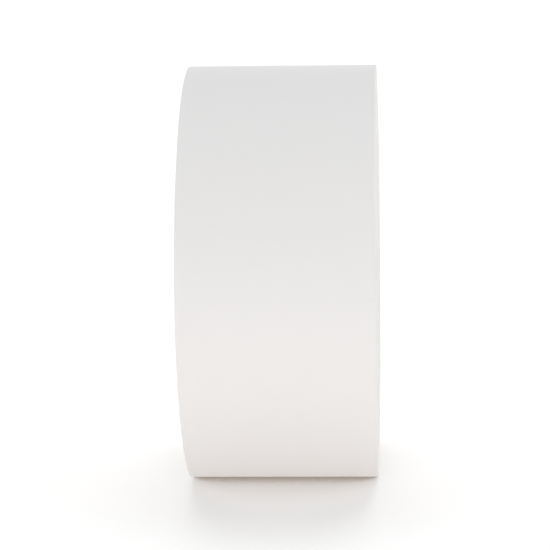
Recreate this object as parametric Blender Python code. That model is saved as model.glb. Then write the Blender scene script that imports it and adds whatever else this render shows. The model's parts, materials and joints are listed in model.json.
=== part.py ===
"""A roll of white gummed paper tape that stands on its edge, in metres, with +Z up.

X runs along the roll's axis, +Y is the rear, and the origin lies on the ground under the roll's middle.
The core is a tube of board strips, wound one over the other. Round it lies the wound tape, then the
last turn, and the free end, which lifts off the roll at the front.
"""

import math

import bmesh
import bpy
import numpy as np

# The tape. Its last turn is drawn thicker than the paper, so that it is a sound solid of its own.
TAPE_WIDTH = 0.070
ROLL_DIAMETER = 0.155
TURN_THICKNESS = 0.0003
TURN_GAP = 0.00045

# The free end: where its cut edge lies on the front of the roll, how much tape is loose,
# and how far it has strayed past the roll's right-hand face
END_ANGLE = math.radians(-0.4)
END_LENGTH = 0.049
END_DRIFT = 0.0008

# The core, cut a little shorter than the tape is wide, and made of strips of board that wind round it
# with open butt seams
CORE_BORE = 0.038
CORE_INSET = 0.001
PLY_THICKNESS = 0.00056
GLUE_LINE = 0.0003
SEAM_ANGLE = math.radians(30)
SEAM_OPENING = 0.0005
SEAM_STAGGER = math.radians(144)
PLY_NAMES = ("core_liner", "core_ply_2", "core_ply_3", "core_ply_4", "core_wrap")

# How the pieces sit: the gap between seated pieces, and how deep the roll's weight presses it flat
SEAT_GAP = 0.0003
FLAT_DEPTH = 0.0005

# Fineness of the round shapes, and the angle past which an edge stays sharp
TURN_STEP = math.radians(3)
PLY_STEP = math.radians(9)
SHARP_ANGLE = math.radians(25)

# Colours and finishes: linear red, green and blue, then roughness
WHITE_PAPER = ((0.83, 0.82, 0.81), 0.6)
CORE_BOARD = ((0.37, 0.27, 0.18), 0.85)

FULL_TURN = 2 * math.pi
ROLL_RADIUS = ROLL_DIAMETER / 2
TURN_PITCH = TURN_THICKNESS + TURN_GAP
PLY_PITCH = PLY_THICKNESS + GLUE_LINE
CORE_RADIUS = CORE_BORE / 2 + len(PLY_NAMES) * PLY_PITCH - GLUE_LINE
CORE_WIDTH = TAPE_WIDTH - 2 * CORE_INSET

# Places along the tape are angles wound back from its cut edge
BOTTOM = END_ANGLE + math.pi / 2
ROOT = END_LENGTH / ROLL_RADIUS
SEAT_ANGLE = SEAT_GAP / ROLL_RADIUS
TURN_START = ROOT + SEAT_ANGLE
TURN_END = TURN_START + FULL_TURN + TURN_STEP


def spiral_radius(wound):
    """How far the tape's outer face lies from the axis: a spiral that closes in by one pitch a turn."""
    return ROLL_RADIUS - TURN_PITCH * wound / FULL_TURN


AXIS_HEIGHT = spiral_radius(BOTTOM) - FLAT_DEPTH


def flat_half_angle(wound):
    """Half the angle, seen from the axis, over which the turn at this place is pressed flat."""
    radius = spiral_radius(wound)
    return math.acos((radius - FLAT_DEPTH) / radius)


def nearest_bottom(wound):
    """The place on this turn that lies straight under the axis."""
    return BOTTOM + FULL_TURN * round((wound - BOTTOM) / FULL_TURN)


def surface_radius(wound, depth):
    """Distance from the axis to what lies this deep in the tape, flat where the roll stands."""
    bottom = nearest_bottom(wound)
    radius = spiral_radius(wound) - depth
    if abs(wound - bottom) > 2 * flat_half_angle(bottom):
        return radius
    flat = spiral_radius(bottom) - FLAT_DEPTH - depth
    return min(radius, flat / math.cos(wound - bottom))


def drift(wound):
    """How far the tape has strayed to the right: most at its cut edge, none at the ground."""
    share = min(wound / BOTTOM, 1)
    return END_DRIFT * (1 + math.cos(math.pi * share)) / 2


def on_roll(x, radius, angle):
    """A point beside the roll's axis, with the angle counted from the front up."""
    return (x, -radius * math.cos(angle), radius * math.sin(angle))


def tape_section(wound):
    """The corners of the tape's cross-section: its outer face from left to right, then its gum."""
    angle = END_ANGLE - wound
    left = drift(wound) - TAPE_WIDTH / 2
    right = drift(wound) + TAPE_WIDTH / 2
    outer = surface_radius(wound, 0)
    inner = surface_radius(wound, TURN_THICKNESS)
    return [
        on_roll(left, outer, angle),
        on_roll(right, outer, angle),
        on_roll(right, inner, angle),
        on_roll(left, inner, angle),
    ]


def pack_section(wound):
    """The four corners of the wound tape's cross-section, from its outer face in to the core."""
    angle = END_ANGLE - wound
    outer = surface_radius(wound, 0)
    inner = CORE_RADIUS + SEAT_GAP
    return [
        on_roll(-TAPE_WIDTH / 2, outer, angle),
        on_roll(TAPE_WIDTH / 2, outer, angle),
        on_roll(TAPE_WIDTH / 2, inner, angle),
        on_roll(-TAPE_WIDTH / 2, inner, angle),
    ]


def stations(start, stop):
    """Places along the tape at even steps, and one at each end of a stretch that is pressed flat."""
    steps = max(2, math.ceil((stop - start) / TURN_STEP))
    even = [start + (stop - start) * step / steps for step in range(steps + 1)]
    kept = [start, stop]
    for bottom in {nearest_bottom(wound) for wound in even}:
        for side in (-1, 1):
            edge = bottom + side * flat_half_angle(bottom)
            if start < edge < stop:
                kept.append(edge)
    spaced = [wound for wound in even if min(abs(wound - mark) for mark in kept) > TURN_STEP / 4]
    return sorted(kept + spaced)


def ply_section(radius, seam, turned):
    """A core strip's cross-section along its slanted edge: the outer face left to right, and back."""
    twist = CORE_WIDTH * math.tan(SEAM_ANGLE) / radius
    steps = math.ceil(twist / PLY_STEP)
    outer_row = []
    inner_row = []
    for step in range(steps + 1):
        share = step / steps - 0.5
        angle = seam + turned + twist * share
        outer_row.append(on_roll(CORE_WIDTH * share, radius + PLY_THICKNESS, angle))
        inner_row.append(on_roll(CORE_WIDTH * share, radius, angle))
    return outer_row + inner_row[::-1]


def ply_sections(index):
    """The cross-sections of one core strip, from one side of its seam round to the other."""
    radius = CORE_BORE / 2 + index * PLY_PITCH
    opening = SEAM_OPENING / math.cos(SEAM_ANGLE) / radius
    steps = math.ceil((FULL_TURN - opening) / PLY_STEP)
    turns = [opening + (FULL_TURN - opening) * step / steps for step in range(steps + 1)]
    return [ply_section(radius, index * SEAM_STAGGER, turned) for turned in turns]


def loft(name, sections, closed=False, origin=(0, 0, 0)):
    """A solid that runs through the cross-sections: a closed ring, or a strip with a cap at each end."""
    mesh = bpy.data.meshes.new(name)
    bm = bmesh.new()
    rows = [[bm.verts.new(np.subtract(point, origin)) for point in section] for section in sections]
    count = len(rows[0])
    pairs = list(zip(rows, rows[1:]))
    if closed:
        pairs.append((rows[-1], rows[0]))
    for row, following in pairs:
        for corner in range(count):
            beside = (corner + 1) % count
            bm.faces.new((row[corner], row[beside], following[beside], following[corner]))
    if not closed:
        for row in (rows[0], rows[-1]):
            for corner in range(count // 2 - 1):
                across = count - 1 - corner
                bm.faces.new((row[corner], row[corner + 1], row[across - 1], row[across]))
    bmesh.ops.recalc_face_normals(bm, faces=bm.faces)
    bmesh.ops.triangulate(bm, faces=bm.faces, quad_method="SHORT_EDGE")
    bm.to_mesh(mesh)
    bm.free()
    mesh.shade_smooth()
    mesh.set_sharp_from_angle(angle=SHARP_ANGLE)
    return bpy.data.objects.new(name, mesh)


def paint(piece, finish):
    """Gives a piece a material of its own."""
    colour, roughness = finish
    material = bpy.data.materials.new(piece.name)
    material.use_nodes = True
    shader = material.node_tree.nodes["Principled BSDF"]
    shader.inputs["Base Color"].default_value = (*colour, 1)
    shader.inputs["Roughness"].default_value = roughness
    shader.inputs["Metallic"].default_value = 0
    piece.data.materials.append(material)


def least_gap(one_side, other_side):
    """The least distance between two sets of points, in millimetres."""
    apart = np.array(one_side)[:, None, :] - np.array(other_side)[None, :, :]
    return 1000 * np.linalg.norm(apart, axis=2).min()


def carry(piece, axis, location=(0, 0, 0)):
    """Puts a piece in the scene, carried by the roll's axis."""
    bpy.context.scene.collection.objects.link(piece)
    piece.parent = axis
    piece.location = location


def make_axis():
    """The roll's own axis, which carries all of its pieces."""
    axis = bpy.data.objects.new("roll_axis", None)
    axis.empty_display_size = ROLL_RADIUS / 4
    axis.location = (0, 0, AXIS_HEIGHT)
    bpy.context.scene.collection.objects.link(axis)
    return axis


def make_core(axis):
    """The core's strips of board, each over the one before, with their seams spread round the tube."""
    for index, name in enumerate(PLY_NAMES):
        sections = ply_sections(index)
        ply = loft(name, sections)
        paint(ply, CORE_BOARD)
        carry(ply, axis)
        print(f"{name}: seam open by {least_gap(sections[0], sections[-1]):.2f} mm")


def make_wound_tape(axis):
    """All the turns under the last one, with a step on the outside where the tape dives in."""
    places = stations(TURN_END + SEAT_ANGLE, TURN_END + FULL_TURN)
    sections = [pack_section(wound) for wound in places]
    pack = loft("wound_tape", sections, closed=True)
    paint(pack, WHITE_PAPER)
    carry(pack, axis)


def make_last_turn(axis):
    """The last turn, one unbroken ribbon from the free end's foot to where it dives under itself."""
    sections = [tape_section(wound) for wound in stations(TURN_START, TURN_END)]
    turn = loft("last_turn", sections)
    paint(turn, WHITE_PAPER)
    carry(turn, axis)
    half = len(sections) // 2
    gap = least_gap(np.concatenate(sections[:half]), np.concatenate(sections[half + 1 :]))
    print(f"last_turn: least gap to itself {gap:.2f} mm")


def make_tape_end(axis):
    """The free end of the tape, which lifts about the outer corner of its foot."""
    hinge = on_roll(0, surface_radius(ROOT, 0), END_ANGLE - ROOT)
    sections = [tape_section(wound) for wound in stations(0, ROOT)]
    end = loft("tape_end", sections, origin=hinge)
    paint(end, WHITE_PAPER)
    carry(end, axis, hinge)
    print(f"tape_end: hinge at y {hinge[1]:.5f}, z {hinge[2] + AXIS_HEIGHT:.5f} m")


def main():
    for leftover in list(bpy.data.objects):
        bpy.data.objects.remove(leftover)
    axis = make_axis()
    make_core(axis)
    make_wound_tape(axis)
    make_last_turn(axis)
    make_tape_end(axis)
    print(f"axis {AXIS_HEIGHT:.5f} m above the ground, core {2000 * CORE_RADIUS:.1f} mm across")


main()
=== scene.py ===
# %% [markdown]
# # A roll of gummed paper tape
# The real object is one strip of white paper, some 200 m long, with dried gum on its inner face. It is
# wound on a tube of brown board, which is itself made of strips wound on a slant. The solids of the roll
# are loaded first and stay as they are. Each of them is then replaced by a finer piece that lies in the
# same place.

import json
import math

import bmesh
import bpy
from mathutils import Matrix, Vector


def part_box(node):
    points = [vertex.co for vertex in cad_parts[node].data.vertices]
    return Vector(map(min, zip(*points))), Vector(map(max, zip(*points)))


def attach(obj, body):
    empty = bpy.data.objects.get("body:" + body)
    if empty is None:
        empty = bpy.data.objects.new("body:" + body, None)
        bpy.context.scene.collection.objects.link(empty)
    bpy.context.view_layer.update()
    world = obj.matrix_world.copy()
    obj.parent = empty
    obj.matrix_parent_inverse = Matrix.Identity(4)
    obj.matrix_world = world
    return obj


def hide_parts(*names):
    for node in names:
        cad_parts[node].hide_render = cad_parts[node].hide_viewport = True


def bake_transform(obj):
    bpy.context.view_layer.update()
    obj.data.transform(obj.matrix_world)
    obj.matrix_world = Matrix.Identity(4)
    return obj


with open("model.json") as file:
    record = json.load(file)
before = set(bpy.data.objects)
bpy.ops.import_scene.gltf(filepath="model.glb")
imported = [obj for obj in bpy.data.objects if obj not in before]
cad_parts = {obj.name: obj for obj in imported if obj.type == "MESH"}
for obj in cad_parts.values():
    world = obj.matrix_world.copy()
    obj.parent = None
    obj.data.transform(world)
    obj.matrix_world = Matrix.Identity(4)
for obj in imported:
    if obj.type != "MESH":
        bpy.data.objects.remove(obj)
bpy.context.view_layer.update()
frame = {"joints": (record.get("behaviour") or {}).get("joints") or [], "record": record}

# %% [markdown]
# The pieces take their places from the solids. The roll's axis runs along X through the middle of the
# bore, its half width is that of the wound tape, and its radius is measured at the free end, on the front
# of the roll. Only what the solids can't show as it is gets its sizes here: the paper, which they draw
# thicker, and the core's boards, which they draw apart.

# %% Take the sizes from the solids
PAPER = 0.000086
CORE_BORE = 0.038
CORE_WALL = 0.004
CORE_BOARDS = ("core_liner", "core_ply_2", "core_ply_3", "core_ply_4", "core_wrap")

bore_low, bore_high = frame["record"]["physics"]["openings"][0]["box_m"]
AXIS = (Vector(bore_low) + Vector(bore_high)) / 2
HALF_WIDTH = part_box("wound_tape")[1].x
HALF_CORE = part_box("core_liner")[1].x
ROLL_RADIUS = -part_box("tape_end")[0].y
HINGE = Vector(frame["joints"][0]["pos_m"])
END_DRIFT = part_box("tape_end")[1].x - HALF_WIDTH

# %% [markdown]
# A few helpers do by code what a hand does between two tools: they add a primitive with nothing else
# selected and open it for editing, pick parts of the mesh by where they are, apply a modifier and shade
# the result.

# %% Helpers for modelling
SHARP_EDGE = math.radians(30)


def add(primitive, name, **shape):
    """Adds a primitive with nothing else selected, names it and opens it in edit mode."""
    bpy.ops.object.select_all(action="DESELECT")
    primitive(**shape)
    piece = bpy.context.object
    piece.name = name
    piece.data.name = name
    bpy.ops.object.mode_set(mode="EDIT")
    return piece


def pick(test, mode="VERT"):
    """Selects what the test picks in the mesh that is being edited, and says how many that is."""
    bpy.ops.mesh.select_mode(type=mode)
    bpy.ops.mesh.select_all(action="DESELECT")
    data = bpy.context.object.data
    mesh = bmesh.from_edit_mesh(data)
    parts = {"VERT": mesh.verts, "EDGE": mesh.edges, "FACE": mesh.faces}[mode]
    picked = [part for part in parts if test(part)]
    for part in picked:
        part.select_set(True)
    mesh.select_flush_mode()
    bmesh.update_edit_mesh(data)
    return len(picked)


def settle():
    """Moves the active object's place, turn and size into its mesh."""
    bpy.ops.object.mode_set(mode="OBJECT")
    bpy.ops.object.transform_apply(location=True, rotation=True, scale=True)


def apply(piece, kind, **settings):
    """Adds a modifier with these settings to the active piece and applies it."""
    modifier = piece.modifiers.new(kind.lower(), kind)
    for setting, value in settings.items():
        setattr(modifier, setting, value)
    bpy.ops.object.modifier_apply(modifier=modifier.name)


def smooth(piece):
    """Shades the active piece smooth, apart from its sharp edges, and prints its size."""
    bpy.ops.object.shade_smooth_by_angle(angle=SHARP_EDGE)
    piece.data.calc_loop_triangles()
    print(f"{piece.name}: {len(piece.data.loop_triangles)} triangles")


# %% [markdown]
# ## The camera
# The roll is seen almost square on, from a little to the right and a little above, with a long lens. So
# the tread fills the picture, and of the right-hand end face only a sliver shows. The camera sits on an
# arm that starts at the roll's middle: the arm turns round the roll and tips up, and the camera leans and
# moves out along it.

# %% Set up the camera
TURN_TO_RIGHT = math.radians(3.05)
LOOK_DOWN = math.radians(8.0)
LEAN = math.radians(-0.722)
ARM = Vector((-0.00366, -0.00147, 1.0117))
LENS = 175.1
SENSOR_WIDTH = 36
NEAREST = 0.01

bpy.ops.object.select_all(action="DESELECT")
bpy.ops.object.camera_add()
camera = bpy.context.object
camera.name = "camera"
camera.data.lens = LENS
camera.data.sensor_width = SENSOR_WIDTH
camera.data.clip_start = NEAREST
turned = Matrix.Rotation(TURN_TO_RIGHT, 4, "Z") @ Matrix.Rotation(math.pi / 2 - LOOK_DOWN, 4, "X")
leaning = Matrix.Rotation(LEAN, 4, "Z")
camera.matrix_world = Matrix.Translation(AXIS) @ turned @ leaning @ Matrix.Translation(ARM)
bpy.context.scene.camera = camera
print("camera at", [round(place, 4) for place in camera.matrix_world.translation])

# %% [markdown]
# ## The light and the floor
# White goods are shown on a white floor, in a tent of cloth that softens every lamp. Light, floor and
# finishes are all made of nodes, so helpers come first. They add a node with its links, calculate, spread
# a pattern over a range and mix two colours. The last one asks Light Path what a ray is for, so that the
# viewer can be shown something else than what lights the roll.

# %% Helpers for nodes
NOISE_WEAK = 0.3
NOISE_STRONG = 0.7
# Where a Mix node keeps its two colours and their mixture
MIX_ONE = 6
MIX_OTHER = 7
MIX_RESULT = 2


def node(tree, kind, inputs=(), **properties):
    """Adds a node. Its inputs are given by name or number, as values or as outputs to link."""
    made = tree.nodes.new(kind)
    for name, value in properties.items():
        setattr(made, name, value)
    for key, value in dict(inputs).items():
        if isinstance(value, bpy.types.NodeSocket):
            tree.links.new(value, made.inputs[key])
        else:
            made.inputs[key].default_value = value
    return made


def calc(tree, operation, *values):
    """The result of a Math node for these values or outputs."""
    return node(tree, "ShaderNodeMath", dict(enumerate(values)), operation=operation).outputs[0]


def vector_calc(tree, operation, *values):
    """The outputs of a Vector Math node for these values or outputs."""
    return node(tree, "ShaderNodeVectorMath", dict(enumerate(values)), operation=operation).outputs


def between(tree, share, low, high, weak=NOISE_WEAK, strong=NOISE_STRONG):
    """Spreads a pattern over a range: low where it is weak, high where it is strong."""
    spread = {"Value": share, "From Min": weak, "From Max": strong, "To Min": low, "To Max": high}
    return node(tree, "ShaderNodeMapRange", spread).outputs[0]


def tint(tree, share, one, other):
    """A colour between two, by share."""
    mixed = node(tree, "ShaderNodeMix", {0: share}, data_type="RGBA")
    for place, colour in ((MIX_ONE, one), (MIX_OTHER, other)):
        if isinstance(colour, bpy.types.NodeSocket):
            tree.links.new(colour, mixed.inputs[place])
        else:
            mixed.inputs[place].default_value = (*colour, 1)
    return mixed.outputs[MIX_RESULT]


def seen_directly(tree):
    """1 for what the viewer sees straight, mirrored or through glass, 0 for light that falls on things."""
    rays = node(tree, "ShaderNodeLightPath").outputs
    straight = calc(tree, "MAXIMUM", rays["Is Camera Ray"], rays["Is Glossy Ray"])
    return calc(tree, "MAXIMUM", straight, rays["Is Transmission Ray"])


# %% [markdown]
# Lamps of Blender's own could stand round the roll, but the world can be the whole tent: an even level,
# and a soft patch of light for each lamp, brightest in one direction and fading round it. The lamps
# behind the roll throw its shadow towards the viewer. The viewer sees the tent as plain white.

# %% Light the scene
TENT_LEVEL = 0.10
# For each lamp: which way it lies, how narrow its patch of light is, and how strong
LAMPS = {
    "front": ((0, -0.99, 0.16), 14, 4.86),
    "rear": ((0, 0.98, 0.17), 10, 3.45),
    "top_rear": ((0, 0.39, 0.92), 15, 3.3),
    "right": ((0.99, 0, 0.15), 6, 2.05),
    "left": ((-0.99, 0, 0.15), 6, 1.75),
}
WHITE = (1.0, 1.0, 1.0)


def patch(tree, direction, towards, narrowness, strength):
    """A patch of light on the tent, brightest one way and fading round it."""
    along = vector_calc(tree, "DOT_PRODUCT", direction, towards)["Value"]
    narrowed = calc(tree, "POWER", calc(tree, "MAXIMUM", along, 0), narrowness)
    return calc(tree, "MULTIPLY", narrowed, strength)


world = bpy.data.worlds.new("light_tent")
bpy.context.scene.world = world
world.use_nodes = True
tree = world.node_tree
tree.nodes.clear()
direction = node(tree, "ShaderNodeTexCoord").outputs["Generated"]
level = TENT_LEVEL
for lamp in LAMPS.values():
    level = calc(tree, "ADD", level, patch(tree, direction, *lamp))
tent = node(tree, "ShaderNodeBackground", {"Color": (*WHITE, 1), "Strength": level}).outputs[0]
plain = node(tree, "ShaderNodeBackground", {"Color": (*WHITE, 1)}).outputs[0]
either = node(tree, "ShaderNodeMixShader", {0: seen_directly(tree), 1: tent, 2: plain})
node(tree, "ShaderNodeOutputWorld", {"Surface": either.outputs[0]})
bpy.context.scene.view_settings.view_transform = "Standard"
print("tent with", len(LAMPS), "patches of light")

# %% [markdown]
# The floor is a sheet of white with light under it too, as on a light table, because the underside of the
# roll is almost as light as its front. That light is a little warm. It would wash the shadow out, so
# Light Path shows the viewer another sheet: pure white in the open, with painted shade that grows darker
# the more the roll shelters it, which Ambient Occlusion measures. The glow that the viewer sees is dimmed
# there too, as painted shade.

# %% Lay the floor
FLOOR_LIT = (0.42, 0.41, 0.39)
# Painted shade: the warm dark colour that the viewer's floor takes where the roll shelters it
FLOOR_PAINTED_SHADE = (0.43, 0.36, 0.29)
PAINTED_SHADE_REACH = 0.25
PAINTED_SHADE_FALL = 0.12
GLOW_WARM = (1.0, 0.93, 0.91)
GLOW_LIT = 0.56
GLOW_SEEN = 0.13
FLOOR_SIZE = 12


def floor_white():
    """One sheet of white for the light on the roll, and another for the viewer, with painted shade near
    the roll.
    """
    material = bpy.data.materials.new("floor_white")
    material.use_nodes = True
    tree = material.node_tree
    tree.nodes.clear()
    seen = seen_directly(tree)
    # Painted shade: Ambient Occlusion darkens the viewer's floor colour and dims its glow near the roll
    painted_shade_mask = node(tree, "ShaderNodeAmbientOcclusion", {"Distance": PAINTED_SHADE_REACH}).outputs["AO"]
    floor_seen_painted_shade = tint(tree, calc(tree, "POWER", painted_shade_mask, PAINTED_SHADE_FALL), FLOOR_PAINTED_SHADE, WHITE)
    matt = node(tree, "ShaderNodeBsdfDiffuse", {"Color": tint(tree, seen, FLOOR_LIT, floor_seen_painted_shade)})
    glow_level = between(tree, seen, GLOW_LIT, calc(tree, "MULTIPLY", painted_shade_mask, GLOW_SEEN), 0, 1)
    glow_colour = tint(tree, seen, GLOW_WARM, WHITE)
    glow = node(tree, "ShaderNodeEmission", {"Color": glow_colour, "Strength": glow_level})
    both = node(tree, "ShaderNodeAddShader", {0: matt.outputs[0], 1: glow.outputs[0]})
    node(tree, "ShaderNodeOutputMaterial", {"Surface": both.outputs[0]})
    return material


bpy.ops.object.select_all(action="DESELECT")
bpy.ops.mesh.primitive_plane_add(size=FLOOR_SIZE)
floor = bpy.context.object
floor.name = "floor"
floor.data.materials.append(floor_white())
print("floor", FLOOR_SIZE, "m across")

# %% [markdown]
# ## The finishes
# A picture of paper could be wrapped round the roll, but it would blur close up and repeat. Nodes hold up
# at any distance, so every finish starts from a Principled shader, noise of a real size in metres, and a
# bump for the finest relief.

# %% Helpers for finishes


def new_finish(name, **sockets):
    """A material with these values on its Principled shader. Returns it with its nodes and that shader."""
    material = bpy.data.materials.new(name)
    material.use_nodes = True
    tree = material.node_tree
    shader = tree.nodes["Principled BSDF"]
    for socket, value in sockets.items():
        shader.inputs[socket.replace("_", " ")].default_value = value
    print("finish", name)
    return material, tree, shader


def noise(tree, where, size, stretch=(1, 1, 1), **inputs):
    """Cloudy noise in patches about this many metres across, drawn out by stretch. Mostly near 0.5."""
    scale = [1 / part for part in stretch]
    placed = node(tree, "ShaderNodeMapping", {"Vector": where, "Scale": scale}).outputs[0]
    return node(tree, "ShaderNodeTexNoise", {"Vector": placed, "Scale": 1 / size, **inputs}).outputs["Fac"]


def relief(tree, shader, height, depth):
    """Raises the surface by a pattern, this many metres from its lowest to its highest."""
    bump = node(tree, "ShaderNodeBump", {"Height": height, "Distance": depth})
    tree.links.new(bump.outputs[0], shader.inputs["Normal"])


# %% [markdown]
# White kraft paper is matt with a faint cloudiness, because its fibres never settle quite evenly, and a
# fine grain that runs along the tape, the way the paper machine ran. The grain follows the tape round the
# roll, so it reads a map of the strip laid flat, in metres.

# %% White paper
ALONG_TAPE = "along_tape"
PAPER_DULL = (0.773, 0.773, 0.773)
PAPER_CLEAR = (0.788, 0.788, 0.788)
PAPER_SHEEN = 0.2
PAPER_ROUGHNESS = (0.66, 0.8)
CLOUD_SIZE = 0.006
CLOUD_STRETCH = (1.6, 1, 1)
GRAIN_SIZE = 0.0006
GRAIN_STRETCH = (5, 1, 1)
GRAIN_DEPTH = 0.00001


def white_paper():
    """The tape's outer face."""
    material, tree, shader = new_finish("white_paper", Specular_IOR_Level=PAPER_SHEEN)
    flat = node(tree, "ShaderNodeUVMap", uv_map=ALONG_TAPE).outputs[0]
    clouds = noise(tree, flat, CLOUD_SIZE, CLOUD_STRETCH, Detail=4)
    grain = noise(tree, flat, GRAIN_SIZE, GRAIN_STRETCH, Detail=3)
    tree.links.new(tint(tree, clouds, PAPER_DULL, PAPER_CLEAR), shader.inputs["Base Color"])
    tree.links.new(between(tree, clouds, *PAPER_ROUGHNESS), shader.inputs["Roughness"])
    relief(tree, shader, grain, GRAIN_DEPTH)
    return material


paper = white_paper()

# %% [markdown]
# The gum is a thin clear coat that was rolled on wet and dried. It is smoother than paper, a little
# yellow, and lies in faint lengthwise lines, so the same paper gets a warmer colour, a lower roughness
# and stripes along it.

# %% Dried gum
GUM_THIN = (0.80, 0.785, 0.74)
GUM_THICK = (0.78, 0.755, 0.68)
GUM_COAT = 0.35
COAT_ROUGHNESS = 0.22
GUM_ROUGHNESS = (0.3, 0.45)
LINE_WIDTH = 0.0016
LINE_STRETCH = (30, 1, 1)
LINE_DEPTH = 0.00001
BLOTCH_SIZE = 0.008


def dried_gum():
    """The tape's inner face."""
    material, tree, shader = new_finish("dried_gum", Coat_Weight=GUM_COAT, Coat_Roughness=COAT_ROUGHNESS)
    flat = node(tree, "ShaderNodeUVMap", uv_map=ALONG_TAPE).outputs[0]
    lines = noise(tree, flat, LINE_WIDTH, LINE_STRETCH, Detail=2)
    blotches = noise(tree, flat, BLOTCH_SIZE, Detail=3)
    tree.links.new(tint(tree, lines, GUM_THIN, GUM_THICK), shader.inputs["Base Color"])
    tree.links.new(between(tree, blotches, *GUM_ROUGHNESS), shader.inputs["Roughness"])
    relief(tree, shader, lines, LINE_DEPTH)
    return material


gum = dried_gum()

# %% [markdown]
# Seen from the side, the wound tape is hundreds of cut paper edges. They make rings: fine ones for the
# turns, and broader bands where the tension of the winding changed. The rings are worked out from the
# distance to the roll's axis, which noise pulls about a little, because no roll is wound quite true.

# %% Cut edges of the tape
EDGE_DULL = (0.765, 0.761, 0.753)
EDGE_CLEAR = (0.865, 0.862, 0.856)
EDGE_ROUGHNESS = 0.8
PULL_SIZE = 0.05
PULL = 0.0006
BAND_WIDTH = 0.004
RING_WIDTH = 0.0005
RING_DEPTH = 0.00004


def rings(tree, where, size, **inputs):
    """Noise in rings about the roll's axis, each about this many metres wide."""
    at = {"W": where, "Scale": 1 / size, **inputs}
    return node(tree, "ShaderNodeTexNoise", at, noise_dimensions="1D").outputs["Fac"]


def from_axis(tree, place):
    """The distance of a place from the roll's axis."""
    beside = vector_calc(tree, "SUBTRACT", place, AXIS)["Vector"]
    across = vector_calc(tree, "MULTIPLY", beside, (0, 1, 1))["Vector"]
    return vector_calc(tree, "LENGTH", across)["Value"]


def cut_edges():
    """The turns' edges on the roll's end faces."""
    material, tree, shader = new_finish("cut_edges", Roughness=EDGE_ROUGHNESS)
    place = node(tree, "ShaderNodeTexCoord").outputs["Object"]
    pull = between(tree, noise(tree, place, PULL_SIZE, Detail=1), -PULL, PULL)
    radius = calc(tree, "ADD", from_axis(tree, place), pull)
    bands = rings(tree, radius, BAND_WIDTH, Detail=3)
    turns = rings(tree, radius, RING_WIDTH, Detail=2)
    share = between(tree, calc(tree, "ADD", bands, turns), 0, 1, 2 * NOISE_WEAK, 2 * NOISE_STRONG)
    tree.links.new(tint(tree, share, EDGE_DULL, EDGE_CLEAR), shader.inputs["Base Color"])
    relief(tree, shader, turns, RING_DEPTH)
    return material


edges = cut_edges()

# %% [markdown]
# Core board is made from waste paper, so it is brown and full of flecks, darker than the rest. Long
# fibres give it a nap. No two strips are cut from the same spot, so each strip carries a number that
# moves the pattern and shifts its tone, and the strips can be told apart on the core's ends.

# %% Core board
BOARD_BROWN = (0.37, 0.27, 0.18)
BOARD_PALE = (0.46, 0.355, 0.25)
BOARD_DARK = (0.20, 0.14, 0.09)
BOARD_ROUGHNESS = (0.75, 0.95)
STRIP_NUMBER = "strip_number"
STRIP_TONE = 0.45
PULP_SIZE = 0.005
FIBRE_SIZE = 0.0008
FIBRE_STRETCH = (1, 3, 3)
FIBRE_DEPTH = 0.00006
FLECK_SIZE = 0.0013
FLECK_START = 0.66
FLECK_FULL = 0.72


def core_board():
    """Plain brown board with flecks."""
    material, tree, shader = new_finish("core_board")
    own = {"attribute_type": "OBJECT", "attribute_name": STRIP_NUMBER}
    number = node(tree, "ShaderNodeAttribute", **own).outputs["Fac"]
    place = node(tree, "ShaderNodeTexCoord").outputs["Object"]
    place = vector_calc(tree, "ADD", place, number)["Vector"]
    odd = calc(tree, "MODULO", number, 2)
    low = calc(tree, "MULTIPLY", odd, STRIP_TONE)
    high = calc(tree, "ADD", low, 1 - STRIP_TONE)
    pulp = noise(tree, place, PULP_SIZE, Detail=4)
    fibres = noise(tree, place, FIBRE_SIZE, FIBRE_STRETCH, Detail=4)
    flecks = between(tree, noise(tree, place, FLECK_SIZE, Detail=2), 0, 1, FLECK_START, FLECK_FULL)
    toned = tint(tree, between(tree, pulp, low, high), BOARD_BROWN, BOARD_PALE)
    tree.links.new(tint(tree, flecks, toned, BOARD_DARK), shader.inputs["Base Color"])
    tree.links.new(between(tree, fibres, *BOARD_ROUGHNESS), shader.inputs["Roughness"])
    relief(tree, shader, fibres, FIBRE_DEPTH)
    return material


board = core_board()

# %% [markdown]
# ## The core
# A paper tube is wound from strips of board that run round a mandrel on a slant, each glued over the one
# before. A strip's two edges butt together in a seam that climbs round the tube. Each board starts as an
# open cylinder with rows cut across it. One column of faces is taken out for the seam, the tube is
# twisted until that seam slants, and then it gets its thickness and soft edges. A roll that is put down
# on its side ends up a little dished: its core slides along inside it, here to the left, and takes the
# inner turns with it.

# %% Wind the core's boards
DISH_DEPTH = 0.0013
BOARD = CORE_WALL / len(CORE_BOARDS)
GLUE = 0.00004
SEAM_SLANT = math.radians(30)
SEAM_STAGGER = math.radians(144)
BOARD_SIDES = 240
BOARD_ROWS = 14
CUT_WANDER = 0.00008
BOARD_ROUND = 0.00012
ROUND_PAST = math.radians(50)


def at_seam(point, seam):
    """True for the column of faces just past the seam's angle, counted from the front up."""
    past = (math.atan2(-point.x, -point.y) - seam) % (2 * math.pi)
    return past < 2 * math.pi / BOARD_SIDES


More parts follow.
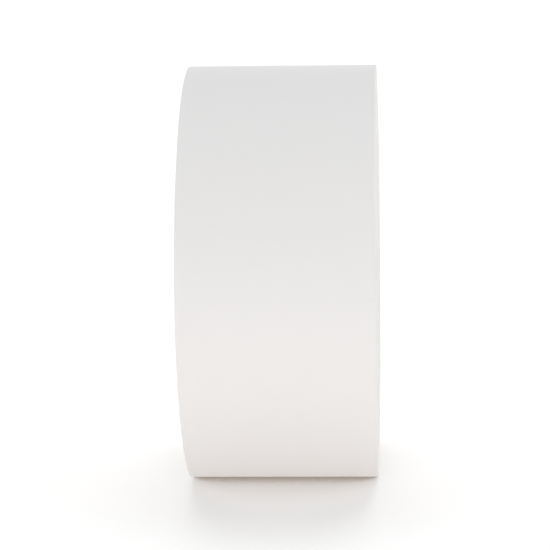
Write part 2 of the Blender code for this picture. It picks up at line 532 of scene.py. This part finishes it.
def wound_board(place, solid):
    """One strip of board, wound over those before it."""
    radius = CORE_BORE / 2 + place * BOARD
    strip = add(
        bpy.ops.mesh.primitive_cylinder_add,
        solid.replace("core", "board"),
        vertices=BOARD_SIDES,
        radius=radius,
        depth=2 * HALF_CORE,
        end_fill_type="NOTHING",
        location=AXIS - Vector((DISH_DEPTH, 0, 0)),
        rotation=(0, math.pi / 2, 0),
    )
    pick(lambda edge: abs(edge.verts[0].co.z - edge.verts[1].co.z) > HALF_CORE, "EDGE")
    bpy.ops.mesh.subdivide(number_cuts=BOARD_ROWS - 1)
    pick(lambda face: at_seam(face.calc_center_median(), place * SEAM_STAGGER), "FACE")
    bpy.ops.mesh.delete(type="FACE")
    pick(lambda vertex: abs(vertex.co.z) > HALF_CORE - BOARD)
    bpy.ops.transform.vertex_random(offset=CUT_WANDER, uniform=1, seed=place)
    bpy.ops.object.mode_set(mode="OBJECT")
    climb = 2 * HALF_CORE * math.tan(SEAM_SLANT) / radius
    apply(strip, "SIMPLE_DEFORM", deform_method="TWIST", deform_axis="Z", angle=-climb)
    apply(strip, "SOLIDIFY", thickness=BOARD - GLUE, offset=1, use_even_offset=True)
    apply(strip, "BEVEL", width=BOARD_ROUND, segments=1, limit_method="ANGLE", angle_limit=ROUND_PAST)
    settle()
    smooth(strip)
    return strip


for place, solid in enumerate(CORE_BOARDS):
    strip = wound_board(place, solid)
    strip[STRIP_NUMBER] = float(place)
    strip.data.materials.append(board)
    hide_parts(solid)
    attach(strip, "roll")

# %% [markdown]
# ## The wound tape
# Under its last turns the tape is one tight pack. What shows of it is its two end faces, where the cut
# edges stand a few hundredths of a millimetre in or out. Hundreds of single turns would be too many
# faces, so the pack is turned like a wheel, from an outline with a point for every few turns. A grid with
# a row for each of them is stood on edge over the axis, and all but its outline is taken out.

# %% Draw the outline of the wound tape
OUTER_TURNS = 3
PACK_ROWS = 150
EDGE_BEND = 0.00006

core_radius = CORE_BORE / 2 + CORE_WALL
pack_radius = ROLL_RADIUS - OUTER_TURNS * PAPER - EDGE_BEND
pack = add(
    bpy.ops.mesh.primitive_grid_add,
    "paper_pack",
    x_subdivisions=1,
    y_subdivisions=PACK_ROWS,
    size=1,
    location=AXIS + Vector((0, 0, (core_radius + pack_radius) / 2)),
    rotation=(math.pi / 2, 0, 0),
)
pack.scale = (2 * HALF_WIDTH, pack_radius - core_radius, 1)
settle()


def inner_rung(edge):
    """True for an edge that runs across the tape inside the outline."""
    one, other = (vertex.co for vertex in edge.verts)
    height = one.z - AXIS.z
    return abs(one.x - other.x) > HALF_WIDTH and core_radius + PAPER < height < pack_radius - PAPER


bpy.ops.object.mode_set(mode="EDIT")
bpy.ops.mesh.select_all(action="SELECT")
bpy.ops.mesh.delete(type="ONLY_FACE")
print("rungs taken out:", pick(inner_rung, "EDGE"))
bpy.ops.mesh.delete(type="EDGE")

# %% [markdown]
# Before the spin, the inner turns are slid to the left with the core. Proportional editing eases that out
# over the turns round them, which makes the dish that hides the bore from the viewer. Then the outline is
# shaken a little, spun round the axis, and pressed flat where the roll stands.

# %% Spin the outline
DISH_REACH = 0.03
EDGE_WANDER = 0.00008
WANDER_SEED = 7
PACK_STEPS = 192
SAME_POINT = 0.000005

pack_ground = (OUTER_TURNS + 1) * PAPER
pick(lambda vertex: vertex.co.z - AXIS.z < core_radius + PAPER)
bpy.ops.transform.translate(
    value=(-DISH_DEPTH, 0, 0),
    use_proportional_edit=True,
    proportional_edit_falloff="SMOOTH",
    proportional_size=DISH_REACH,
)
bpy.ops.mesh.select_all(action="SELECT")
bpy.ops.transform.vertex_random(offset=EDGE_WANDER, uniform=1, seed=WANDER_SEED)
bpy.ops.mesh.spin(steps=PACK_STEPS, angle=2 * math.pi, center=AXIS, axis=(1, 0, 0))
bpy.ops.mesh.select_all(action="SELECT")
bpy.ops.mesh.remove_doubles(threshold=SAME_POINT)
bpy.ops.mesh.normals_make_consistent(inside=False)
print("points pressed flat:", pick(lambda vertex: vertex.co.z < pack_ground))
bpy.ops.transform.resize(value=(1, 1, 0), center_override=(0, 0, pack_ground))
bpy.ops.object.mode_set(mode="OBJECT")
smooth(pack)
pack.data.materials.append(edges)
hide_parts("wound_tape")
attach(pack, "roll")

# %% [markdown]
# ## The last turns and the free end
# The outside of the roll is one strip, which closes in by its own thickness at each turn. The Spin tool
# turns a profile on a circle. The operator under it also takes a small step in, which turns with the
# profile and makes the circle a spiral. The profile is a line across the tape whose edges are bent in by
# a hair, as a slitting knife leaves them. It lies at the strip's cut edge, on the front of the roll.

# %% Draw a line across the tape
STEPS_PER_TURN = 364
STEP = 2 * math.pi / STEPS_PER_TURN
BENT_WIDTH = 0.0004

foot = math.atan2(HINGE.z - AXIS.z, -HINGE.y)
cut_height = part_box("tape_end")[1].z - AXIS.z
END_STEPS = round((math.asin(cut_height / ROLL_RADIUS) - foot) / STEP)
tip = foot + END_STEPS * STEP
outward = Vector((0, -math.cos(tip), math.sin(tip)))
start = AXIS + (ROLL_RADIUS + PAPER) * outward

tape = add(bpy.ops.mesh.primitive_plane_add, "paper_outer_turns", size=2 * HALF_WIDTH, location=start)
settle()
bpy.ops.object.mode_set(mode="EDIT")
# Of the square plane only the far edge is kept, and brought to the place of the cut edge
pick(lambda vertex: vertex.co.y < start.y)
bpy.ops.mesh.delete(type="VERT")
bpy.ops.mesh.select_all(action="SELECT")
bpy.ops.transform.translate(value=(0, -HALF_WIDTH, 0))
# Of its three new points, two go out to where the bends start, and then the two ends are bent in
bpy.ops.mesh.subdivide(number_cuts=3)
pick(lambda vertex: HALF_WIDTH / 4 < abs(vertex.co.x) < 3 * HALF_WIDTH / 4)
bpy.ops.transform.resize(value=(2 - 2 * BENT_WIDTH / HALF_WIDTH, 1, 1), center_override=start)
pick(lambda vertex: abs(vertex.co.x) > HALF_WIDTH - BENT_WIDTH / 2)
bpy.ops.transform.translate(value=-EDGE_BEND * outward)
print(f"cut edge {math.degrees(tip):.1f} degrees from the front, {END_STEPS} steps above its foot")

# %% [markdown]
# From its cut edge the strip runs down the front of the roll, under it and up behind. On its way round it
# is pressed flat by the roll's weight where it passes the ground, and its free end has strayed a little
# past the right-hand face. Those are moves of single points that depend on how far back from the cut edge
# they lie, so they are made in a loop. The same loop writes the map of the strip laid flat, which the
# paper's grain reads.

# %% Wind the strip
TURN_WANDER = 0.00004
WANDER_RATE = 1.7

to_ground = tip + math.pi / 2


def stray(wound):
    """How far the strip lies to the right, at this angle wound back from its cut edge."""
    share = min(wound / to_ground, 1)
    wander = TURN_WANDER * math.sin(WANDER_RATE * wound)
    return END_DRIFT * (1 + math.cos(math.pi * share)) / 2 + wander


mesh = bmesh.from_edit_mesh(tape.data)
across = len(mesh.verts)
steps = END_STEPS + OUTER_TURNS * STEPS_PER_TURN
bmesh.ops.spin(
    mesh,
    geom=mesh.verts[:] + mesh.edges[:],
    cent=AXIS,
    axis=(1, 0, 0),
    dvec=-PAPER / STEPS_PER_TURN * outward,
    angle=steps * STEP,
    steps=steps,
)
mesh.verts.index_update()
laid_flat = mesh.loops.layers.uv.new(ALONG_TAPE)
for vertex in mesh.verts:
    wound = vertex.index // across * STEP
    for corner in vertex.link_loops:
        corner[laid_flat].uv = (wound * ROLL_RADIUS, vertex.co.x)
    vertex.co.x += stray(wound)
    vertex.co.z = max(vertex.co.z, PAPER * round((wound - to_ground) / (2 * math.pi)))
mesh.normal_update()
facing_out = [face.normal.dot(face.calc_center_median() - AXIS) > 0 for face in mesh.faces]
bmesh.update_edit_mesh(tape.data)
print(f"{steps / STEPS_PER_TURN:.2f} turns, {sum(facing_out)} of {len(facing_out)} faces point out")

# %% [markdown]
# The free end is the first stretch of the strip, from the cut edge to the foot that it lifts from. It is
# cut off with Separate, so that its foot meets the rest of the strip exactly. Both get the paper's
# thickness towards the axis, with the gum on the inner face and cut edges round the rim.

# %% Part the free end from the turns
CLEARANCE = 0.000015

pick(lambda face: max(vertex.index for vertex in face.verts) < (END_STEPS + 1) * across, "FACE")
bpy.ops.mesh.separate(type="SELECTED")
bpy.ops.object.mode_set(mode="OBJECT")
free_end = next(piece for piece in bpy.context.selected_objects if piece != tape)
free_end.name = "paper_free_end"
for strip in (tape, free_end):
    bpy.ops.object.select_all(action="DESELECT")
    strip.select_set(True)
    bpy.context.view_layer.objects.active = strip
    for finish in (paper, gum, edges):
        strip.data.materials.append(finish)
    apply(
        strip,
        "SOLIDIFY",
        thickness=PAPER - CLEARANCE,
        offset=-1,
        material_offset=1,
        material_offset_rim=2,
    )
    smooth(strip)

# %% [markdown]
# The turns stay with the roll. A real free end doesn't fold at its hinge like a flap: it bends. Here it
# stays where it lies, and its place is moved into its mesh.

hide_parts("last_turn")
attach(tape, "roll")
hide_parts("tape_end")
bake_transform(free_end)
